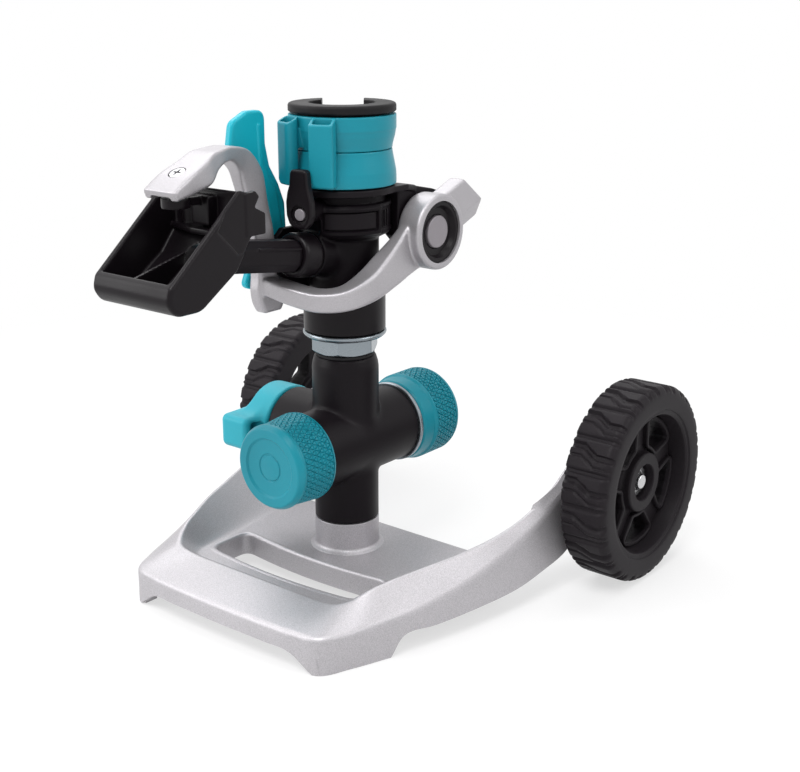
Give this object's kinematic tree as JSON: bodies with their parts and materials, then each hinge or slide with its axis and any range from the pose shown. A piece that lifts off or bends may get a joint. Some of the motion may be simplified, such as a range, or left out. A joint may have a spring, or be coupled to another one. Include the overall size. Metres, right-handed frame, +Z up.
{
  "type": "impulse sprinkler",
  "caption": "Impulse sprinkler on a wheeled cast sled base: hose manifold with flow lever, turning head, weighted swing arm with water scoop, arc-setting rings and spray flap.",
  "frame": {"origin": "centre of the object's bounding box, on the ground plane that the wheels and the front feet stand on", "axes": "+Z up, -Y the way the jet leaves over the front bar, +Y the hose end with the wheels, X along the wheels' axle line"},
  "size_m": [0.2484, 0.2783, 0.2414],
  "materials": {
    "base_casting": "silver paint, fine grain",
    "base_screw": "plain",
    "axle_right": "plain",
    "axle_left": "plain",
    "axle_retainer_right": "plain",
    "axle_retainer_left": "plain",
    "wheel_right": "moulded, matt",
    "wheel_left": "moulded, matt",
    "manifold": "moulded, satin",
    "inlet_tail": "zinc, bright",
    "hose_swivel": "moulded, textured grip",
    "hose_washer": "soft",
    "front_cap": "moulded, textured grip",
    "cap_washer": "soft",
    "valve_lever": "moulded, satin",
    "valve_plug": "turned",
    "valve_seal": "soft",
    "valve_screw": "plain",
    "adapter_gasket": "soft",
    "hex_adapter": "zinc, satin",
    "bearing_sleeve": "moulded, satin",
    "bearing_bush": "nylon",
    "fixed_spindle": "plain",
    "drum_core": "moulded, satin",
    "lower_arc_ring": "moulded, satin",
    "upper_arc_ring": "moulded, satin",
    "head_tube": "turned",
    "head_body": "moulded, satin",
    "side_panel": "moulded, satin",
    "pivot_bracket": "moulded, satin",
    "arm_pivot_pin": "plain",
    "nozzle": "moulded, satin",
    "nozzle_nut": "moulded, satin",
    "trip_pin": "plain",
    "flap_pin": "plain",
    "trip_lever": "moulded, satin",
    "diffuser_flap": "moulded, satin",
    "swing_arm": "silver paint, smooth",
    "arm_bushing": "moulded, satin",
    "scoop": "moulded, satin",
    "scoop_screw": "plain"
  },
  "bodies": {
    "base": {"base_casting": "base_casting", "base_screw": "base_screw", "axle_right": "axle_right", "axle_left": "axle_left", "axle_retainer_right": "axle_retainer_right", "axle_retainer_left": "axle_retainer_left", "manifold": "manifold", "inlet_tail": "inlet_tail", "adapter_gasket": "adapter_gasket", "hex_adapter": "hex_adapter", "bearing_sleeve": "bearing_sleeve", "bearing_bush": "bearing_bush", "fixed_spindle": "fixed_spindle", "drum_core": "drum_core"},
    "wheel_r": {"wheel_right": "wheel_right"},
    "wheel_l": {"wheel_left": "wheel_left"},
    "swivel": {"hose_swivel": "hose_swivel", "hose_washer": "hose_washer"},
    "cap": {"front_cap": "front_cap", "cap_washer": "cap_washer"},
    "valve": {"valve_lever": "valve_lever", "valve_plug": "valve_plug", "valve_seal": "valve_seal", "valve_screw": "valve_screw"},
    "lower_ring": {"lower_arc_ring": "lower_arc_ring"},
    "upper_ring": {"upper_arc_ring": "upper_arc_ring"},
    "head": {"head_tube": "head_tube", "head_body": "head_body", "side_panel": "side_panel", "pivot_bracket": "pivot_bracket", "arm_pivot_pin": "arm_pivot_pin", "nozzle": "nozzle", "nozzle_nut": "nozzle_nut", "trip_pin": "trip_pin", "flap_pin": "flap_pin"},
    "trip": {"trip_lever": "trip_lever"},
    "flap": {"diffuser_flap": "diffuser_flap"},
    "arm": {"swing_arm": "swing_arm", "arm_bushing": "arm_bushing", "scoop": "scoop", "scoop_screw": "scoop_screw"}
  },
  "joints": [
    {"name": "wheel_right_spin", "type": "hinge", "parent": "base", "child": "wheel_r", "pos_m": [0.1111, 0.08835, 0.051], "axis": [1, 0, 0], "continuous": true},
    {"name": "wheel_left_spin", "type": "hinge", "parent": "base", "child": "wheel_l", "pos_m": [-0.1111, 0.08835, 0.051], "axis": [1, 0, 0], "continuous": true},
    {"name": "swivel_spin", "type": "hinge", "parent": "base", "child": "swivel", "pos_m": [0, 0.04365, 0.0745], "axis": [0, 1, 0], "continuous": true},
    {"name": "cap_spin", "type": "hinge", "parent": "base", "child": "cap", "pos_m": [0, -0.05035, 0.0745], "axis": [0, 1, 0], "continuous": true},
    {"name": "valve_turn", "type": "hinge", "parent": "base", "child": "valve", "pos_m": [-0.036, -0.00635, 0.0745], "axis": [1, 0, 0], "range_deg": [-90, 0]},
    {"name": "lower_ring_turn", "type": "hinge", "parent": "base", "child": "lower_ring", "pos_m": [0, -0.00635, 0.2202], "axis": [0, 0, 1], "range_deg": [0, 140]},
    {"name": "upper_ring_turn", "type": "hinge", "parent": "base", "child": "upper_ring", "pos_m": [0, -0.00635, 0.2202], "axis": [0, 0, 1], "range_deg": [-140, 0]},
    {"name": "head_turn", "type": "hinge", "parent": "base", "child": "head", "pos_m": [0, -0.00635, 0.1525], "axis": [0, 0, 1], "continuous": true},
    {"name": "trip_flip", "type": "hinge", "parent": "head", "child": "trip", "pos_m": [0.00526, -0.03958, 0.1935], "axis": [0.1564, -0.9877, 0], "range_deg": [-15, 15]},
    {"name": "flap_tilt", "type": "hinge", "parent": "head", "child": "flap", "pos_m": [-0.0205, -0.03735, 0.172], "axis": [1, 0, 0], "range_deg": [0, 20]},
    {"name": "arm_swing", "type": "hinge", "parent": "head", "child": "arm", "pos_m": [0.0345, 0.02615, 0.179], "axis": [1, 0, 0], "range_deg": [0, 7.5], "stiffness_Nm_per_rad": 0.3, "springref_deg": -34.38}
  ]
}
